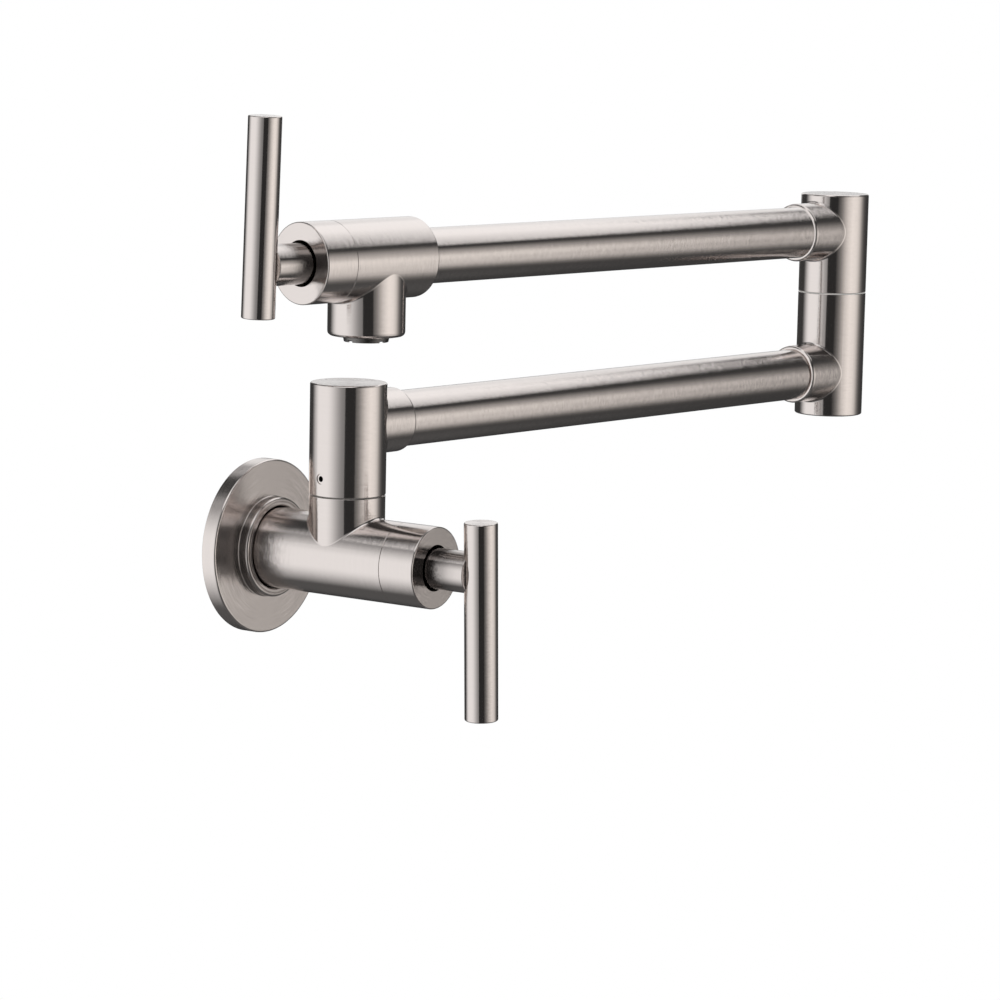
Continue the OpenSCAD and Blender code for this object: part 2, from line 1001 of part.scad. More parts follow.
module spout_bar_screw() {
  color(dark_steel)
    at_spout_lever()
      bar_screw();
}

module spout_lever_screw() {
  color(dark_steel)
    at_spout_lever()
      lever_screw(0);
}

wall_flange();
flange_o_ring();
wall_gasket();
wall_valve_body();
wall_bonnet();
wall_cartridge();
wall_cartridge_seal();
wall_fixed_disc();
wall_swivel_nipple();
wall_swivel_o_rings();
wall_swivel_washer();
wall_turning_disc();
wall_spindle();
wall_spindle_o_ring();
wall_spindle_clip();
wall_lever_stem();
wall_lever_bar();
wall_bar_screw();
wall_lever_screw();
wall_swivel_housing();
wall_swivel_screw();
lower_arm_tube();
elbow_lower_housing();
elbow_nipple();
elbow_o_rings();
elbow_washer();
elbow_upper_housing();
elbow_screw();
upper_arm_tube();
spout_valve_body();
spout_bonnet();
spout_cartridge();
spout_cartridge_seal();
spout_fixed_disc();
aerator_washer();
aerator_insert();
aerator_shell();
spout_turning_disc();
spout_spindle();
spout_spindle_o_ring();
spout_spindle_clip();
spout_lever_stem();
spout_lever_bar();
spout_bar_screw();
spout_lever_screw();
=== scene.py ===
import json
import math

import bmesh
import bpy
from mathutils import Matrix, Vector


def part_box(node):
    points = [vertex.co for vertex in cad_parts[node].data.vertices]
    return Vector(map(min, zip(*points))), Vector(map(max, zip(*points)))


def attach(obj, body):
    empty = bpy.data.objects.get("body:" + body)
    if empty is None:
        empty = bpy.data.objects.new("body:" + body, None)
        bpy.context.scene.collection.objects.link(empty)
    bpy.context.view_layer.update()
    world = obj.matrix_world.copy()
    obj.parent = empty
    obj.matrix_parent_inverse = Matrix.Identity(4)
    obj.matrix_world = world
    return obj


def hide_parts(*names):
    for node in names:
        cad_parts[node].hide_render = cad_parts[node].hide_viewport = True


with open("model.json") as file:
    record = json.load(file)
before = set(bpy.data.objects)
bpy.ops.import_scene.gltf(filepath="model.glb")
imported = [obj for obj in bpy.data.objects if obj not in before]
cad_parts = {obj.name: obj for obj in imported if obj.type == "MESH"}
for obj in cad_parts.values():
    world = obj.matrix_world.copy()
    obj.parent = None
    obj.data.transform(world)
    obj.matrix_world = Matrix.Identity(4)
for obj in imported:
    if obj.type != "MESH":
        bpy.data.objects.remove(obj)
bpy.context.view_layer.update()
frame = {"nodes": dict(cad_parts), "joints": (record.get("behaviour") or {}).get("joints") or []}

mm = 0.001
up = Vector((0, 0, 1))
fullTurn = 2 * math.pi
toDegrees = 180 / math.pi
white = (1, 1, 1, 1)


# A socket that can stand in a sum: each operator adds the Math node that it needs.
class Wire:
    def __init__(self, tree, socket):
        self.tree = tree
        self.socket = socket

    # Adds any node, its settings first and then its sockets, and gives one of its outputs.
    @classmethod
    def node(cls, tree, kind, settings=None, sockets=None, out=0):
        made = tree.nodes.new(kind)
        for name, value in (settings or {}).items():
            if name == "stops":
                cls.setStops(made.color_ramp.elements, value)
            else:
                setattr(made, name, value)
        for name, value in (sockets or {}).items():
            if isinstance(value, Wire):
                tree.links.new(value.socket, made.inputs[name])
            else:
                made.inputs[name].default_value = value
        return cls(tree, made.outputs[out]) if made.outputs else None

    @staticmethod
    def setStops(elements, stops):
        while len(elements) < len(stops):
            elements.new(1)
        for element, (place, colour) in zip(elements, stops):
            element.position = place
            element.color = (*colour, 1)

    # One Math node, with this value in its first socket and the others after it.
    def math(self, operation, *others):
        sockets = dict(enumerate((self, *others)))
        return Wire.node(self.tree, "ShaderNodeMath", {"operation": operation}, sockets)

    def __add__(self, other):
        return self.math("ADD", other)

    def __sub__(self, other):
        return self.math("SUBTRACT", other)

    def __rsub__(self, other):
        return Wire.node(self.tree, "ShaderNodeMath", {"operation": "SUBTRACT"}, {0: other, 1: self})

    def __mul__(self, other):
        return self.math("MULTIPLY", other)

    def __truediv__(self, other):
        return self.math("DIVIDE", other)

    def __neg__(self):
        return self.math("MULTIPLY", -1)


# Soft step of a value between two edges; it falls where the first edge is the higher one
def softStep(value, start, end):
    sockets = {"Value": value, "From Min": start, "From Max": end}
    return Wire.node(value.tree, "ShaderNodeMapRange", {"interpolation_type": "SMOOTHSTEP"}, sockets)


# Value read off a line through (place, height) stops
def ramp(value, stops):
    start, end = stops[0][0], stops[-1][0]
    high = max(height for _, height in stops)
    sockets = {"Value": value, "From Min": start, "From Max": end}
    share = Wire.node(value.tree, "ShaderNodeMapRange", None, sockets)
    marks = [((place - start) / (end - start), (height / high,) * 3) for place, height in stops]
    return Wire.node(value.tree, "ShaderNodeValToRGB", {"stops": marks}, {0: share}) * high


def greater(a, b):
    return a.math("MAXIMUM", b)


# Vector maths: operation, then two vectors or a vector and a scale
def vectorMath(operation, a, b=None, out=0):
    sockets = {0: a}
    if operation == "SCALE":
        sockets["Scale"] = b
    elif b is not None:
        sockets[1] = b
    return Wire.node(a.tree, "ShaderNodeVectorMath", {"operation": operation}, sockets, out)


def combine(tree, x, y, z):
    return Wire.node(tree, "ShaderNodeCombineXYZ", None, {"X": x, "Y": y, "Z": z})


def split(vector):
    return [Wire.node(vector.tree, "ShaderNodeSeparateXYZ", None, {0: vector}, out=axis) for axis in "XYZ"]


# The Mix node has sockets of its own for each kind of value, all of the same names: so they go by number
def mixVectors(factor, a, b):
    sockets = {"Factor": factor, 4: a, 5: b}
    return Wire.node(factor.tree, "ShaderNodeMix", {"data_type": "VECTOR"}, sockets, 1)


def mixColours(factor, a, b):
    sockets = {"Factor": factor, 6: a, 7: b}
    return Wire.node(factor.tree, "ShaderNodeMix", {"data_type": "RGBA"}, sockets, 2)


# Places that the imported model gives: joints, axes and the outlet
joints = {joint["name"]: joint for joint in frame["joints"]}


def jointPlace(name):
    return Vector(joints[name]["pos_m"])


def jointAxis(name):
    return Vector(joints[name]["axis"]).normalized()


def middle(node):
    low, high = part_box(node)
    return (low + high) / 2


# Flat part of a place or a direction
def level(point):
    return Vector((point.x, point.y, 0))


def axesMatrix(x, y, z):
    return Matrix((x, y, z)).transposed().to_4x4()


# Matrix whose Z points along an axis and whose X is as near as it can be to another direction
def placed(origin, zAxis, xAxis):
    z = zAxis.normalized()
    y = z.cross(xAxis).normalized()
    x = y.cross(z)
    return Matrix.Translation(origin) @ axesMatrix(x, y, z)


def link(thing):
    bpy.context.scene.collection.objects.link(thing)


wallSwivel = level(jointPlace("wall_swivel"))
elbow = level(jointPlace("elbow_swivel"))
outlet = level(middle("aerator_shell"))
wallValveAxis = jointAxis("wall_lever_turn")
spoutValveAxis = jointAxis("spout_lever_turn")
lowerArmAxis = (elbow - wallSwivel).normalized()
upperArmAxis = (outlet - elbow).normalized()
lowerHeight = middle("lower_arm_tube").z
upperHeight = middle("upper_arm_tube").z
wallSeam = jointPlace("wall_lever_turn")
spoutSeam = jointPlace("spout_lever_turn")


# The camera of the photograph
camera = {
    "place": (-1.14578, -0.89862, 0.23272),
    "azimuth": -55.68,
    "elevation": 8.34,
    "roll": 1.18,
    "lens": 133.48,
    "sensor": 36.0,
    "clip": (0.05, 60),
}


def addCamera(spec):
    a = math.radians(spec["azimuth"])
    e = math.radians(spec["elevation"])
    back = Vector((math.sin(a) * math.cos(e), -math.cos(a) * math.cos(e), math.sin(e)))
    right = Vector((math.cos(a), math.sin(a), 0))
    data = bpy.data.cameras.new("camera")
    data.lens = spec["lens"]
    data.sensor_width = spec["sensor"]
    data.clip_start, data.clip_end = spec["clip"]
    cameraObject = bpy.data.objects.new("camera", data)
    link(cameraObject)
    turn = axesMatrix(right, back.cross(right), back)
    roll = Matrix.Rotation(math.radians(spec["roll"]), 4, "Z")
    cameraObject.matrix_world = Matrix.Translation(spec["place"]) @ turn @ roll
    bpy.context.scene.camera = cameraObject


addCamera(camera)
bpy.context.scene.view_settings.view_transform = "Standard"
print("camera placed")


def newMaterial(name):
    material = bpy.data.materials.new(name)
    material.use_nodes = True
    material.node_tree.nodes.clear()
    return material, material.node_tree


# Material of a stage object, which the metal finds by reflection and which isn't sampled as a lamp
def stageMaterial(name):
    material, tree = newMaterial(name)
    material.cycles.emission_sampling = "NONE"
    return material, tree


def showSurface(tree, shader):
    Wire.node(tree, "ShaderNodeOutputMaterial", None, {"Surface": shader})


def emission(tree, colour, strength=1.0):
    return Wire.node(tree, "ShaderNodeEmission", None, {"Color": colour, "Strength": strength})


# Object coordinates of the piece
def objectPlace(tree):
    return Wire.node(tree, "ShaderNodeTexCoord", out="Object")


def noise(vector, scale, detail, roughness=0.5):
    sockets = {"Vector": vector, "Scale": scale, "Detail": detail, "Roughness": roughness}
    return Wire.node(vector.tree, "ShaderNodeTexNoise", None, sockets)


# Studio round the object: soft white cards in a dark tent, in degrees of azimuth and elevation
studio = {
    "centre": (0.12, -0.06, 0.06),
    "radius": 1.6,
    "dark": 0.05,
    "ground": {"low": (-25, -50), "strength": 0.1},
    "leftCard": {"start": (-98, -54), "fade": (-30, 24), "fadeDepth": 0.75, "end": (28, 24),
                 "low": (-70, -20), "high": (54, 4), "strength": 1.03},
    "rightCard": {
        "strength": 1.0,
        "tint": (1.04, 1.0, 0.955),
        "across": ((-134, 0.0), (-125, 0.1), (-116, 0.24), (-106.5, 0.5), (-97.5, 0.75), (-88, 0.91),
                   (-78, 1.03), (-60, 0.92), (-50, 0.71), (-42, 0.43), (-37, 0.25), (-31, 0.12),
                   (-24, 0.04), (-12, 0.0)),
        "along": ((-43, 0.0), (-36, 0.2), (-31, 0.44), (-26, 0.64), (-20, 0.77), (-15, 0.82),
                  (-10, 0.92), (-4, 1.0), (1.5, 1.0), (5, 0.9), (10, 0.66), (15, 0.49), (20, 0.3),
                  (24, 0.12), (27, 0.0)),
        "shift": (-9, -18),    # from the first height down to the second, it moves to the right
        "shiftBy": 5,
    },
    "overhead": {"radius": 0.75, "start": (-62, -42), "end": (92, 78), "low": (33.4, 35.6),
                 "glow": 1.15, "brighter": (-55, 5), "least": 0.65, "weaker": (25, 52), "rest": 0.4,
                 "rear": {"start": (-55, -25), "end": (65, 30), "strength": 0.9}},
    "backdrop": {"start": (8, 20), "end": (60, 50), "low": (-6, 12), "high": (36, 32), "strength": 0.95},
}
studioBall = {"segments": 96, "rings": 48}


# Azimuth, azimuth from the far side and elevation on a ball round the origin of a piece
def onBall(tree, radius):
    x, y, z = split(objectPlace(tree))
    azimuth = y.math("ARCTAN2", x) * toDegrees
    fromLeft = (-y).math("ARCTAN2", -x) * toDegrees
    elevation = (z / radius).math("ARCSINE") * toDegrees
    return azimuth, fromLeft, elevation


# Light of a card from its start to its end, round the object
def cardSpan(azimuth, card):
    return softStep(azimuth, *card["start"]) * softStep(azimuth, *card["end"])


# The same light, cut at the card's low and high edges
def cardLight(span, elevation, card):
    return span * softStep(elevation, *card["low"]) * softStep(elevation, *card["high"]) * card["strength"]


def tentMaterial(spec):
    material, tree = stageMaterial("studio_tent")
    azimuth, fromLeft, elevation = onBall(tree, spec["radius"])
    card = spec["leftCard"]
    left = cardSpan(fromLeft, card) * (1 - softStep(fromLeft, *card["fade"]) * card["fadeDepth"])
    left = cardLight(left, elevation, card)
    card = spec["backdrop"]
    behind = cardLight(cardSpan(azimuth, card), elevation, card)
    card = spec["ground"]
    ground = softStep(elevation, *card["low"]) * card["strength"]
    plain = greater(greater(left, behind), greater(ground, spec["dark"]))
    card = spec["rightCard"]
    toRight = softStep(elevation, *card["shift"]) * card["shiftBy"]
    right = ramp(azimuth - toRight, card["across"]) * ramp(elevation, card["along"]) * card["strength"]
    warm = combine(tree, *(right * tint for tint in card["tint"]))
    showSurface(tree, emission(tree, vectorMath("ADD", combine(tree, plain, plain, plain), warm)))
    return material


# The overhead card hangs nearer than the tent and is clear where it doesn't shine
def overheadMaterial(card):
    material, tree = stageMaterial("studio_overhead")
    azimuth, fromLeft, elevation = onBall(tree, card["radius"])
    over = cardSpan(azimuth, card)
    over = over * (softStep(azimuth, *card["brighter"]) * (1 - card["least"]) + card["least"])
    over = over * (1 - softStep(azimuth, *card["weaker"]) * (1 - card["rest"]))
    behind = cardSpan(fromLeft, card["rear"]) * card["rear"]["strength"]
    over = greater(over, behind) * softStep(elevation, *card["low"])
    clear = Wire.node(tree, "ShaderNodeBsdfTransparent")
    bright = emission(tree, white, card["glow"])
    showSurface(tree, Wire.node(tree, "ShaderNodeMixShader", None, {0: over, 1: clear, 2: bright}))
    return material


# Hides a stage object from every kind of ray but those named
def seenBy(piece, *rays):
    for ray in ("camera", "diffuse", "glossy", "transmission", "volume_scatter", "shadow"):
        setattr(piece, "visible_" + ray, ray in rays)


# Gives a mesh one material in place of those that it has
def coat(mesh, material):
    mesh.materials.clear()
    mesh.materials.append(material)


def linkPiece(name, mesh, material):
    coat(mesh, material)
    piece = bpy.data.objects.new(name, mesh)
    link(piece)
    return piece


def addBall(name, radius, centre, material):
    ball = bmesh.new()
    bmesh.ops.create_uvsphere(ball, u_segments=studioBall["segments"], v_segments=studioBall["rings"],
                              radius=radius)
    mesh = bpy.data.meshes.new(name)
    ball.to_mesh(mesh)
    ball.free()
    piece = linkPiece(name, mesh, material)
    piece.location = centre
    seenBy(piece, "glossy")


# One flat piece through four corners
def addSheet(name, corners, material):
    mesh = bpy.data.meshes.new(name)
    mesh.from_pydata(corners, [], [(0, 1, 2, 3)])
    return linkPiece(name, mesh, material)


# Dark card round the camera, which gives the black line along every upright cylinder
darkCard = {"ends": ((-0.38, -0.238), (-0.437, -0.742)), "low": -0.7, "high": 0.55, "glow": 0.03}


def addDarkCard(spec):
    material, tree = stageMaterial("studio_dark_card")
    showSurface(tree, emission(tree, (spec["glow"],) * 3 + (1,)))
    left, right = spec["ends"]
    low, high = spec["low"], spec["high"]
    corners = [(*left, low), (*right, low), (*right, high), (*left, high)]
    card = addSheet("studio_dark_card", corners, material)
    seenBy(card, "glossy")


floorSpec = {"height": -1.6, "half": 20.0, "colour": (0.9, 0.9, 0.9, 1)}


# Rays that see the pale ground as plain white
def whiteRays(tree):
    seen = [Wire.node(tree, "ShaderNodeLightPath", out=name)
            for name in ("Is Camera Ray", "Is Glossy Ray", "Is Transmission Ray")]
    return greater(greater(seen[0], seen[1]), seen[2])


def addFloor(spec):
    material, tree = newMaterial("studio_floor")
    pale = Wire.node(tree, "ShaderNodeBsdfDiffuse", None, {"Color": spec["colour"]})
    sockets = {0: whiteRays(tree), 1: pale, 2: emission(tree, white)}
    showSurface(tree, Wire.node(tree, "ShaderNodeMixShader", None, sockets))
    half, height = spec["half"], spec["height"]
    corners = [(-half, -half, height), (half, -half, height), (half, half, height), (-half, half, height)]
    addSheet("studio_floor", corners, material)


worldSpec = {"ambient": 0.7}


def addWorld(spec):
    world = bpy.data.worlds.new("world")
    bpy.context.scene.world = world
    world.use_nodes = True
    tree = world.node_tree
    tree.nodes.clear()
    strength = whiteRays(tree) * (1 - spec["ambient"]) + spec["ambient"]
    background = Wire.node(tree, "ShaderNodeBackground", None, {"Color": white, "Strength": strength})
    Wire.node(tree, "ShaderNodeOutputWorld", None, {"Surface": background})


# Soft lamps for what isn't metal: the metal sees the tent's cards instead
lamps = [
    {"name": "left_lamp", "place": (-1.6, 1.1, 0.4), "size": 1.6, "power": 14},
    {"name": "right_lamp", "place": (0.6, -2.1, 0.3), "size": 1.8, "power": 16},
]


def addLamps(specs, target):
    for spec in specs:
        data = bpy.data.lights.new(spec["name"], "AREA")
        data.size = spec["size"]
        data.energy = spec["power"]
        lamp = bpy.data.objects.new(spec["name"], data)
        link(lamp)
        place = Vector(spec["place"])
        lamp.matrix_world = placed(place, place - target, up)
        lamp.visible_glossy = False


overhead = studio["overhead"]
addBall("studio_tent", studio["radius"], studio["centre"], tentMaterial(studio))
addBall("studio_overhead", overhead["radius"], studio["centre"], overheadMaterial(overhead))
addDarkCard(darkCard)
addFloor(floorSpec)
addWorld(worldSpec)
addLamps(lamps, Vector(studio["centre"]))
print("studio lit")


# Brushed nickel. The brush went round each turned piece, so the fine lines lie across its axis
# and spread the light along it: each line tips the surface a little along the axis.
nickel = {
    "tint": (0.760, 0.705, 0.680),
    "dullTint": (0.725, 0.672, 0.648),
    "shadow": (0.012, 0.012, 0.012),
    "roughness": 0.10,
    "roughnessSpread": 0.04,
    "softRoughness": 0.2,
    "line": 0.025 * mm,    # width of one line
    "lineLength": 0.25,    # its length, in radii of the piece
    "lineDetail": 1.0,
    "tilt": 0.6,
    "streak": 0.9 * mm,    # width of the broader streaks of tint and roughness
    "streakDetail": 3.0,
    "streakRoughness": 0.6,
    "edgeOfBranch": (0.1 * mm, 0.25 * mm),    # beyond the main radius, where the branch's brushing takes over
    "edgeOfSocket": 1.1,    # end of the painted shade in a screw's socket, in radii of the socket
}
noiseMiddle = 0.5


# Brushing round one axis: the distances along it and from it, the direction away from it, the
# direction of the ring through a point, and the path across the lines, one unit for each line
def brushRound(place, origin, direction):
    away = vectorMath("SUBTRACT", place, tuple(origin))
    along = vectorMath("DOT_PRODUCT", away, tuple(direction), out="Value")
    onAxis = combine(place.tree, *(along * part for part in direction))
    aside = vectorMath("SUBTRACT", away, onAxis)
    distance = vectorMath("LENGTH", aside, out="Value")
    outward = vectorMath("NORMALIZE", aside)
    ring = vectorMath("CROSS_PRODUCT", outward, tuple(direction))
    groove = along + distance
    path = combine(place.tree, *(groove * (part / nickel["line"]) for part in direction))
    return along, distance, outward, ring, path


# One finish for a piece turned round one axis, or for a tee with a branch outside the main radius
def brushedNickel(name, main, branch=None, mainRadius=None, roughness=nickel["roughness"],
                  shade=None, gain=1.0, socket=None):
    material, tree = newMaterial(name)
    place = objectPlace(tree)
    along, distance, outward, ring, path = brushRound(place, *main)
    if branch:
        near, far = nickel["edgeOfBranch"]
        onBranch = softStep(distance, mainRadius + near, mainRadius + far)
        _, _, branchOutward, branchRing, branchPath = brushRound(place, *branch)
        outward = mixVectors(onBranch, outward, branchOutward)
        ring = mixVectors(onBranch, ring, branchRing)
        path = mixVectors(onBranch, path, branchPath)
    path = vectorMath("ADD", path, vectorMath("SCALE", outward, 1 / nickel["lineLength"]))
    fine = noise(path, 1.0, nickel["lineDetail"]) - noiseMiddle
    streaks = noise(path, nickel["line"] / nickel["streak"], nickel["streakDetail"],
                    nickel["streakRoughness"])
    normal = Wire.node(tree, "ShaderNodeNewGeometry", out="Normal")
    toWorld = {"vector_type": "VECTOR", "convert_from": "OBJECT", "convert_to": "WORLD"}
    ring = Wire.node(tree, "ShaderNodeVectorTransform", toWorld, {0: ring})
    lean = vectorMath("SCALE", vectorMath("CROSS_PRODUCT", normal, ring), fine * nickel["tilt"])
    tipped = vectorMath("NORMALIZE", vectorMath("ADD", normal, lean))
    colour = mixColours(streaks, (*nickel["dullTint"], 1), (*nickel["tint"], 1))
    shadow = (*nickel["shadow"], 1)
    # Painted shade and light: a ramp along the axis takes the colour, scaled by gain, towards the shadow
    # colour
    if shade:
        colour = mixColours(ramp(along / mm, shade), shadow, vectorMath("SCALE", colour, gain))
    # Painted shade in a screw's socket: the colour goes to the shadow colour within its radius
    if socket:
        colour = mixColours(softStep(distance, socket, socket * nickel["edgeOfSocket"]), shadow, colour)
    spread = nickel["roughnessSpread"]
    sockets = {"Base Color": colour, "Metallic": 1.0, "Normal": tipped,
               "Roughness": streaks * spread + (roughness - spread / 2)}
    showSurface(tree, Wire.node(tree, "ShaderNodeBsdfPrincipled", None, sockets))
    return material


def dress(material, *nodes):
    for node in nodes:
        coat(frame["nodes"][node].data, material)


barEnd = 2 * mm    # how much of a bar counts as its end


def average(points):
    return sum(points, Vector()) / len(points)


# Direction of a lever bar, square to its valve's axis, from the middles of its two ends
def barDirection(node, valveAxis):
    places = [vertex.co for vertex in frame["nodes"][node].data.vertices]
    top = max(place.z for place in places)
    foot = min(place.z for place in places)
    high = average([place for place in places if place.z > top - barEnd])
    low = average([place for place in places if place.z < foot + barEnd])
    along = high - low
    return (along - valveAxis * along.dot(valveAxis)).normalized()


# Axis of a retaining screw, which points at the upright axis of its housing
def screwAxis(node, swivel):
    place = middle(node)
    return place, level(place - swivel).normalized()


wallValve = (Vector(), wallValveAxis)
tee = (wallSwivel, up)
lowerArm = (wallSwivel + up * lowerHeight, lowerArmAxis)
elbowLine = (elbow, up)
upperArm = (outlet + up * upperHeight, upperArmAxis)
spoutValve = (spoutSeam, spoutValveAxis)
bodyRadius = 16.0 * mm
housingRadius = 15.0 * mm
screwSocket = 1.1 * mm

# Painted shade on the stems, darkest near the hole of their bonnet: the share of the light that they get, by
# the distance from the seam of their bonnet in millimetres
stemPaintedShade = ((14.0, 0.3), (15.2, 0.42), (17, 0.45), (20, 0.47), (24, 0.55), (27, 0.78), (30, 0.9), (36, 1.0))
# Painted shade for the flange too, by the height above the wall in millimetres: rim, bright face, and the
# side of the hub darkened as the shade in its corner
flangePaintedShade = ((0, 0.84), (5.7, 0.84), (6.4, 1.0), (6.55, 1.0), (6.9, 0.36), (9.0, 0.44), (10.4, 0.8),
               (11.2, 0.9))
flangePaintedLight = 1.2    # painted light: brightens the tint of the whole flange, and with the rim's share above only the face ends lighter

# Each nickel finish: the node that wears it, the axes that it was brushed round, and any painted shade and
# light
nickelPieces = {
    "wall_body": ("wall_valve_body", {"main": wallValve, "branch": tee, "mainRadius": bodyRadius}),
    "wall_axis": ("wall_bonnet", {"main": wallValve}),
    "flange": ("wall_flange", {"main": wallValve, "roughness": nickel["softRoughness"],
                               "shade": flangePaintedShade, "gain": flangePaintedLight}),
    "wall_bar": ("wall_lever_bar", {"main": (middle("wall_lever_bar"),
                                             barDirection("wall_lever_bar", wallValveAxis))}),
    "wall_swivel": ("wall_swivel_housing", {"main": tee, "branch": lowerArm, "mainRadius": housingRadius}),
    "lower_arm": ("lower_arm_tube", {"main": lowerArm}),
    "elbow_lower": ("elbow_lower_housing", {"main": elbowLine, "branch": lowerArm,
                                            "mainRadius": housingRadius}),
    "elbow_upper": ("elbow_upper_housing", {"main": elbowLine, "branch": upperArm,
                                            "mainRadius": housingRadius}),
    "upper_arm": ("upper_arm_tube", {"main": upperArm}),
    "spout_body": ("spout_valve_body", {"main": spoutValve, "branch": (outlet, up),
                                        "mainRadius": bodyRadius}),
    "spout_axis": ("spout_bonnet", {"main": spoutValve}),
    "spout_bar": ("spout_lever_bar", {"main": (middle("spout_lever_bar"),
                                               barDirection("spout_lever_bar", spoutValveAxis))}),
    "wall_stem": ("wall_lever_stem", {"main": (wallSeam, wallValveAxis), "shade": stemPaintedShade}),
    "spout_stem": ("spout_lever_stem", {"main": (spoutSeam, upperArmAxis), "shade": stemPaintedShade}),
    "lower_retainer": ("wall_swivel_screw", {"main": screwAxis("wall_swivel_screw", wallSwivel),
                                             "socket": screwSocket}),
    "upper_retainer": ("elbow_screw", {"main": screwAxis("elbow_screw", elbow), "socket": screwSocket}),
}
nickelOf = {}
for name, (node, finish) in nickelPieces.items():
    nickelOf[name] = brushedNickel("nickel_" + name, **finish)
    dress(nickelOf[name], node)


# Finishes of the pieces inside and of the small parts: a tint, a second tint in fine spots, and a relief
smallFinishes = {
    "brass": {"tint": (0.62, 0.44, 0.17), "spots": (0.52, 0.36, 0.13), "metallic": 1.0, "roughness": 0.32,
              "grain": 0.5 * mm, "relief": 0.004 * mm},
    # brass of the valves' insides, painted near black as the shade in their holes
    "brass_in_painted_shade": {"tint": (0.060, 0.052, 0.040), "spots": (0.040, 0.034, 0.026), "metallic": 1.0,
                        "roughness": 0.5, "grain": 0.5 * mm, "relief": 0.006 * mm},
    "ceramic": {"tint": (0.82, 0.80, 0.74), "spots": (0.78, 0.75, 0.69), "metallic": 0.0,
                "roughness": 0.18, "grain": 0.8 * mm, "relief": 0.001 * mm},
    "rubber": {"tint": (0.018, 0.018, 0.019), "spots": (0.03, 0.03, 0.03), "metallic": 0.0,
               "roughness": 0.55, "grain": 0.3 * mm, "relief": 0.01 * mm},
    "foam_rubber": {"tint": (0.05, 0.05, 0.052), "spots": (0.014, 0.014, 0.015), "metallic": 0.0,
                    "roughness": 0.9, "grain": 0.35 * mm, "relief": 0.12 * mm},
    "white_nylon": {"tint": (0.48, 0.47, 0.45), "spots": (0.40, 0.39, 0.37), "metallic": 0.0,
                    "roughness": 0.4, "grain": 0.6 * mm, "relief": 0.004 * mm},
    "dark_steel": {"tint": (0.10, 0.10, 0.105), "spots": (0.07, 0.07, 0.075), "metallic": 1.0,
                   "roughness": 0.35, "grain": 0.3 * mm, "relief": 0.006 * mm},
    "grey_plastic": {"tint": (0.09, 0.09, 0.095), "spots": (0.075, 0.075, 0.08), "metallic": 0.0,
                     "roughness": 0.45, "grain": 0.4 * mm, "relief": 0.006 * mm},
    "aerator_steel": {"tint": (0.22, 0.21, 0.205), "spots": (0.16, 0.155, 0.15), "metallic": 1.0,
                      "roughness": 0.3, "grain": 0.4 * mm, "relief": 0.006 * mm},
}
grainLook = {"detail": 3.0, "roughness": 0.6, "edges": (0.35, 0.65), "roughnessSpread": 0.1}


def smallFinish(name, spec):
    material, tree = newMaterial(name)
    grain = noise(objectPlace(tree), 1 / spec["grain"], grainLook["detail"], grainLook["roughness"])
    colour = mixColours(softStep(grain, *grainLook["edges"]), (*spec["spots"], 1), (*spec["tint"], 1))
    relief = Wire.node(tree, "ShaderNodeBump", None,
                       {"Height": grain * spec["relief"], "Strength": 1.0, "Distance": 1.0})
    spread = grainLook["roughnessSpread"]
    sockets = {"Base Color": colour, "Metallic": spec["metallic"], "Normal": relief,
               "Roughness": grain * spread + (spec["roughness"] - spread / 2)}
    showSurface(tree, Wire.node(tree, "ShaderNodeBsdfPrincipled", None, sockets))
    return material


finishes = {name: smallFinish(name, spec) for name, spec in smallFinishes.items()}
for valve in ("wall", "spout"):
    dress(finishes["brass_in_painted_shade"], valve + "_cartridge", valve + "_spindle")
    dress(finishes["ceramic"], valve + "_fixed_disc", valve + "_turning_disc")
    dress(finishes["rubber"], valve + "_cartridge_seal", valve + "_spindle_o_ring")
    dress(finishes["dark_steel"], valve + "_spindle_clip", valve + "_bar_screw", valve + "_lever_screw")
dress(finishes["brass"], "wall_swivel_nipple", "elbow_nipple")
dress(finishes["rubber"], "flange_o_ring", "wall_swivel_o_rings", "elbow_o_rings", "aerator_washer")
dress(finishes["foam_rubber"], "wall_gasket")
dress(finishes["white_nylon"], "wall_swivel_washer", "elbow_washer")
dress(finishes["grey_plastic"], "aerator_insert")
dress(finishes["aerator_steel"], "aerator_shell")

# The photograph shows neither tube mirrored in the other, and the collar of the upper elbow mirrors nothing
unmirrored = ("lower_arm_tube", "upper_arm_tube", "elbow_upper_housing", "elbow_nipple", "elbow_washer",
              "elbow_o_rings")
for node in unmirrored:
    frame["nodes"][node].visible_glossy = False
print("nodes dressed")


# Trees of Geometry Nodes. Each takes a host mesh and named sizes, and ends in a plain mesh with its material.
sharpAngle = 35    # degrees between two faces, above which their edge stays sharp
mergeDistance = 0.0005 * mm


def newTree(name, sizes):
    tree = bpy.data.node_groups.new(name, "GeometryNodeTree")
    tree.interface.new_socket("Geometry", in_out="OUTPUT", socket_type="NodeSocketGeometry")
    tree.interface.new_socket("Host", in_out="INPUT", socket_type="NodeSocketGeometry")
    for label, kind in sizes.items():
        tree.interface.new_socket(label, in_out="INPUT", socket_type="NodeSocket" + kind)
    source = tree.nodes.new("NodeGroupInput")
    return tree, {label: Wire(tree, source.outputs[label]) for label in ("Host", *sizes)}


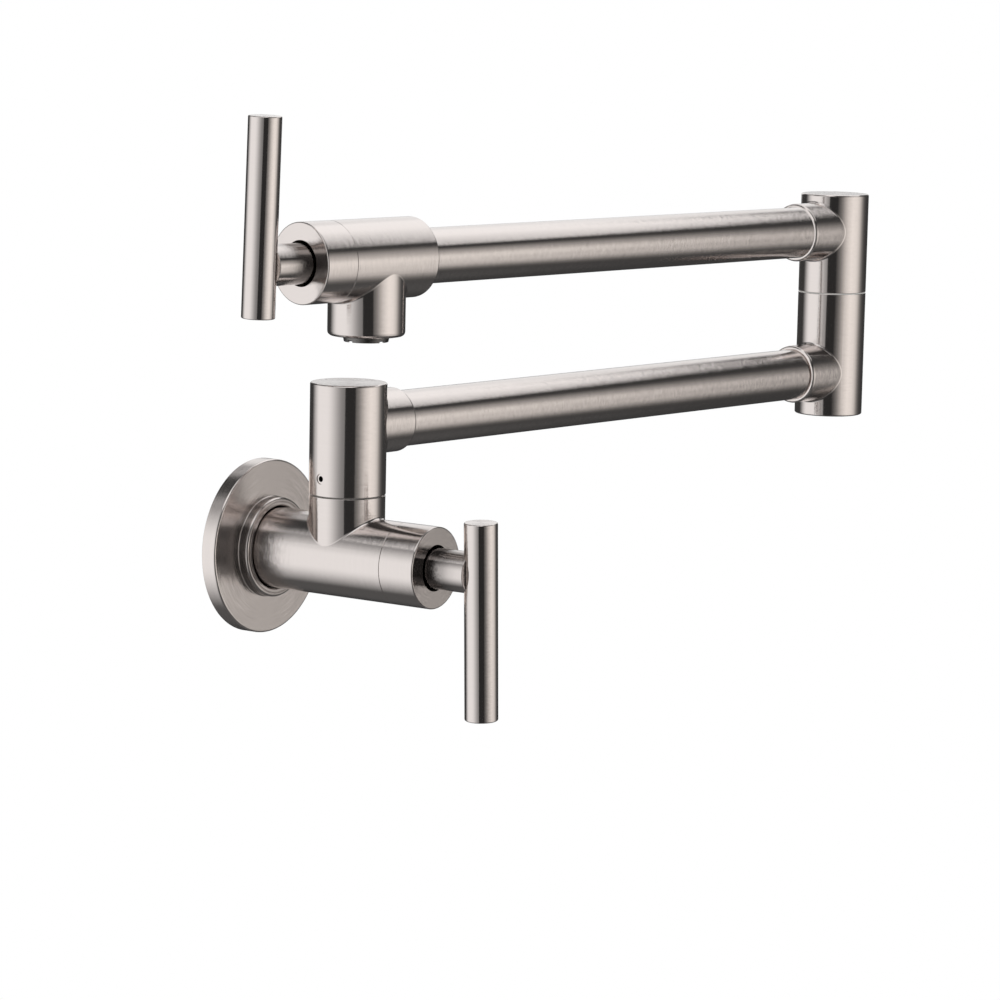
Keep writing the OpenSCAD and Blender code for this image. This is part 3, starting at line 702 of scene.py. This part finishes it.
# Closes a tree: shades it smooth but for its sharp edges, realizes it and gives it its material
def endTree(tree, geometry, material):
    angle = Wire.node(tree, "GeometryNodeInputMeshEdgeAngle")
    isSharp = Wire.node(tree, "FunctionNodeCompare", {"operation": "GREATER_THAN"},
                        {0: angle, 1: math.radians(sharpAngle)})
    smooth = Wire.node(tree, "GeometryNodeSetShadeSmooth", {"domain": "FACE"},
                       {"Geometry": geometry, "Shade Smooth": True})
    edged = Wire.node(tree, "GeometryNodeSetShadeSmooth", {"domain": "EDGE"},
                      {"Geometry": smooth, "Selection": isSharp, "Shade Smooth": False})
    real = Wire.node(tree, "GeometryNodeRealizeInstances", None, {"Geometry": edged})
    dressed = Wire.node(tree, "GeometryNodeSetMaterial", None, {"Geometry": real, "Material": material})
    Wire.node(tree, "NodeGroupOutput", None, {"Geometry": dressed})


# Runs a tree on a host mesh and keeps the result as a plain mesh, put in its place
def grow(name, tree, host, values, place, material, body):
    holder = bpy.data.objects.new(name + "_host", host)
    link(holder)
    modifier = holder.modifiers.new(name, "NODES")
    modifier.node_group = tree
    for item in tree.interface.items_tree:
        if item.in_out == "INPUT" and item.name in values:
            modifier[item.identifier] = values[item.name]
    graph = bpy.context.evaluated_depsgraph_get()
    grown = holder.evaluated_get(graph)
    mesh = bpy.data.meshes.new_from_object(grown, preserve_all_data_layers=True, depsgraph=graph)
    bpy.data.objects.remove(holder)
    mesh.name = name
    mesh.transform(place)
    faces = bmesh.new()
    faces.from_mesh(mesh)
    bmesh.ops.recalc_face_normals(faces, faces=faces.faces)
    faces.to_mesh(mesh)
    faces.free()
    piece = linkPiece(name, mesh, material)
    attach(piece, body)
    return piece


halfRow = 0.5    # keeps whole numbers apart where they are compared or rounded


# Row of each point of a grid, from its index, and the cosine and sine of its column's turn round Z
def gridPlace(tree, rows, segments):
    index = Wire.node(tree, "GeometryNodeInputIndex")
    column = ((index + halfRow) / rows).math("FLOOR")
    turn = column / segments * fullTurn
    return index - column * rows, turn.math("COSINE"), turn.math("SINE")


# A grid with each point in its place, and the points joined where its first and last edges meet
def bentGrid(tree, columns, rows, places):
    grid = Wire.node(tree, "GeometryNodeMeshGrid", None, {"Vertices X": columns, "Vertices Y": rows})
    bent = Wire.node(tree, "GeometryNodeSetPosition", None, {"Geometry": grid, "Position": places})
    sockets = {"Geometry": bent, "Distance": mergeDistance}
    return Wire.node(tree, "GeometryNodeMergeByDistance", None, sockets)


# A profile turned round Z: the host holds its corners as (radius, height) and their roundings
def turnedTree(material):
    tree, given = newTree("turned", {"Segments": "Int", "Arc Steps": "Int"})
    curve = Wire.node(tree, "GeometryNodeMeshToCurve", None, {"Mesh": given["Host"]})
    rounding = Wire.node(tree, "GeometryNodeInputNamedAttribute", {"data_type": "FLOAT"},
                         {"Name": "rounding"})
    rounded = Wire.node(tree, "GeometryNodeFilletCurve", {"mode": "POLY"},
                        {"Curve": curve, "Count": given["Arc Steps"], "Radius": rounding,
                         "Limit Radius": False})
    count = Wire.node(tree, "GeometryNodeAttributeDomainSize", {"component": "CURVE"}, {0: rounded})
    rows = count + 1    # the first point comes again at the end
    row, cosine, sine = gridPlace(tree, rows, given["Segments"])
    place = Wire.node(tree, "GeometryNodeInputPosition")
    sampled = Wire.node(tree, "GeometryNodeSampleIndex", {"data_type": "FLOAT_VECTOR", "domain": "POINT"},
                        {"Geometry": rounded, "Value": place, "Index": row.math("FLOORED_MODULO", count)})
    radius, height, _ = split(sampled)
    around = combine(tree, radius * cosine, radius * sine, height)
    endTree(tree, bentGrid(tree, given["Segments"] + 1, rows, around), material)
    return tree


# Host mesh of a closed outline, without faces
def outlineMesh(name, points):
    mesh = bpy.data.meshes.new(name)
    mesh.from_pydata(points, [(k, (k + 1) % len(points)) for k in range(len(points))], [])
    return mesh


profileSupport = 0.12 * mm    # how far beyond a rounding its support point lies
supportRoom = 3    # a face gets support points where it is this many times as long as they reach


# Host of a turned profile. Long faces get a point just beyond each rounding, which keeps them flat
# to the light.
def profileMesh(name, corners):
    points = []
    for k, (radius, height, rounding) in enumerate(corners):
        here = Vector((radius, height, 0)) * mm
        before = Vector((*corners[k - 1][:2], 0)) * mm - here
        after = Vector((*corners[(k + 1) % len(corners)][:2], 0)) * mm - here
        reach = rounding * mm / math.tan(before.angle(after) / 2) + profileSupport
        if before.length > supportRoom * reach:
            points.append((here + before.normalized() * reach, 0.0))
        points.append((here, rounding * mm))
        if after.length > supportRoom * reach:
            points.append((here + after.normalized() * reach, 0.0))
    mesh = outlineMesh(name, [point for point, _ in points])
    attribute = mesh.attributes.new("rounding", "FLOAT", "POINT")
    attribute.data.foreach_set("value", [rounding for _, rounding in points])
    return mesh


# Corners as radius, height above the wall or the seam, and rounding, in millimetres
flangeProfile = {
    "corners": [(31.2, 0, 0.15), (34.5, 0, 0.2), (34.5, 6.5, 0.8), (19.8, 6.5, 0.35), (19.8, 11.0, 1.1),
                (18.35, 11.0, 0.1), (18.35, 10.6, 0.1), (18.0, 10.6, 0.1), (18.0, 11.0, 0.15),
                (16.9, 11.0, 0.2), (16.5, 10.6, 0.2), (16.5, 8.5, 0.1), (17.55, 8.5, 0.1), (17.55, 6.5, 0.1),
                (16.5, 6.5, 0.1), (16.5, 4.0, 0.2), (26.2, 4.0, 0.2), (26.2, 1.5, 0.2), (31.2, 1.5, 0.2)],
    "segments": 180,
    "arcSteps": 6,
}
bonnetProfile = {
    "corners": [(14.0, 0, 0.1), (16.0, 0, 0.25), (16.0, 15.7, 0.6), (8.9, 15.7, 0.2), (8.9, 11.3, 0.2),
                (14.0, 11.3, 0.2)],
    "segments": 144,
    "arcSteps": 6,
}


def addTurned(name, spec, place, material, body):
    values = {"Segments": spec["segments"], "Arc Steps": spec["arcSteps"]}
    host = profileMesh(name + "_profile", spec["corners"])
    return grow(name, turnedTree(material), host, values, place, material, body)


flange = addTurned("flange_turned", flangeProfile, placed(Vector(), wallValveAxis, up),
                   nickelOf["flange"], "wall_unit")
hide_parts("wall_flange")
wallBonnet = addTurned("wall_bonnet_turned", bonnetProfile, placed(wallSeam, wallValveAxis, up),
                       nickelOf["wall_axis"], "wall_unit")
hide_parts("wall_bonnet")
spoutBonnet = addTurned("spout_bonnet_turned", bonnetProfile, placed(spoutSeam, upperArmAxis, up),
                        nickelOf["spout_axis"], "upper_arm")
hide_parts("spout_bonnet")
print("flange and bonnets turned")


# Where the five saddle fillets lie, and the finish that each one wears
collar = {"main": up, "branchRadius": 12.7 * mm, "mainRadius": housingRadius, "ball": 1.1 * mm}
fillets = {
    "tee_fillet": {"origin": wallSwivel, "branch": up, "main": wallValveAxis, "branchRadius": 14.9 * mm,
                   "mainRadius": bodyRadius, "ball": 1.2 * mm, "finish": "wall_body", "body": "wall_unit"},
    "wall_collar_fillet": {**collar, "origin": wallSwivel + up * lowerHeight, "branch": lowerArmAxis,
                           "finish": "wall_swivel", "body": "lower_arm"},
    "elbow_lower_fillet": {**collar, "origin": elbow + up * lowerHeight, "branch": -lowerArmAxis,
                           "finish": "elbow_lower", "body": "lower_arm"},
    "elbow_upper_fillet": {**collar, "origin": elbow + up * upperHeight, "branch": upperArmAxis,
                           "finish": "elbow_upper", "body": "upper_arm"},
    "outlet_fillet": {"origin": outlet + up * upperHeight, "branch": -up, "main": upperArmAxis,
                      "branchRadius": 15.3 * mm, "mainRadius": bodyRadius, "ball": 1.2 * mm,
                      "finish": "spout_body", "body": "upper_arm"},
}
filletSegments = 240
filletSteps = 8
filletDepth = 1.05    # how far the hidden side of a fillet lies in the metal, in ball radii


# Fillet of a branch on a larger cylinder, as a ball leaves it that rolls in the corner between them.
# The branch rises along Z and the other cylinder lies along Y. The rows of the grid are the points
# of the arc, then the hidden point in the metal, and then the first point of the arc again.
def filletTree(material):
    tree, given = newTree("saddle_fillet", {"Branch Radius": "Float", "Main Radius": "Float",
                                            "Ball Radius": "Float", "Segments": "Int", "Arc Steps": "Int"})
    ball, steps = given["Ball Radius"], given["Arc Steps"]
    hiddenRow = steps + 1
    rows = hiddenRow + 2
    row, cosine, sine = gridPlace(tree, rows, given["Segments"])
    reach = given["Branch Radius"] + ball
    away = given["Main Radius"] + ball
    x, y = reach * cosine, reach * sine
    z = (away * away - x * x).math("SQRT")
    toBranch = combine(tree, -cosine, -sine, 0.0)
    toMain = combine(tree, -x / away, 0.0, -z / away)
    isFirstAgain = row.math("GREATER_THAN", hiddenRow + halfRow)
    share = (row / steps).math("MINIMUM", 1.0) * (1 - isFirstAgain)
    onArc = vectorMath("NORMALIZE", mixVectors(share, toBranch, toMain))
    inner = vectorMath("SCALE", vectorMath("ADD", toBranch, toMain), filletDepth)
    isHidden = row.math("COMPARE", hiddenRow, halfRow)
    arm = vectorMath("SCALE", mixVectors(isHidden, onArc, inner), ball)
    places = vectorMath("ADD", combine(tree, x, y, z), arm)
    endTree(tree, bentGrid(tree, given["Segments"] + 1, rows, places), material)
    return tree


def addFillet(name, spec):
    material = nickelOf[spec["finish"]]
    values = {"Branch Radius": spec["branchRadius"], "Main Radius": spec["mainRadius"],
              "Ball Radius": spec["ball"], "Segments": filletSegments, "Arc Steps": filletSteps}
    place = placed(spec["origin"], spec["branch"], spec["main"].cross(spec["branch"]))
    host = bpy.data.meshes.new(name + "_host")
    return grow(name, filletTree(material), host, values, place, material, spec["body"])


for name, spec in fillets.items():
    addFillet(name, spec)
print("fillets rolled at", len(fillets), "saddles")


# Pipe thread of the inlet: a helix of triangular section along the bore, in millimetres. Its foot
# takes up a share of the pitch and is sunk a little in the metal.
inletThread = {"radius": 10.0, "height": 0.65, "sunk": 0.05, "pitch": 1.814, "footShare": 0.94,
               "start": 0.9, "turns": 7.0, "perTurn": 48}


def threadTree(material):
    tree, given = newTree("thread", {"Radius": "Float", "Pitch": "Float", "Turns": "Float",
                                     "Per Turn": "Int"})
    spiral = Wire.node(tree, "GeometryNodeCurveSpiral", None,
                       {"Resolution": given["Per Turn"], "Rotations": given["Turns"],
                        "Start Radius": given["Radius"], "End Radius": given["Radius"],
                        "Height": given["Pitch"] * given["Turns"]})
    section = Wire.node(tree, "GeometryNodeMeshToCurve", None, {"Mesh": given["Host"]})
    ridge = Wire.node(tree, "GeometryNodeCurveToMesh", None,
                      {"Curve": spiral, "Profile Curve": section, "Fill Caps": True})
    endTree(tree, ridge, material)
    return tree


def addThread(name, spec, place, material, body):
    half = spec["pitch"] / 2 * spec["footShare"]
    corners = [(-spec["sunk"], -half), (-spec["sunk"], half), (spec["height"], 0.0)]
    host = outlineMesh(name + "_section", [(x * mm, y * mm, 0) for x, y in corners])
    values = {"Radius": spec["radius"] * mm, "Pitch": spec["pitch"] * mm, "Turns": spec["turns"],
              "Per Turn": spec["perTurn"]}
    return grow(name, threadTree(material), host, values, place, material, body)


threadStart = wallValveAxis * inletThread["start"] * mm
addThread("inlet_thread", inletThread, placed(threadStart, wallValveAxis, up), nickelOf["wall_axis"],
          "wall_unit")
print("inlet thread cut")
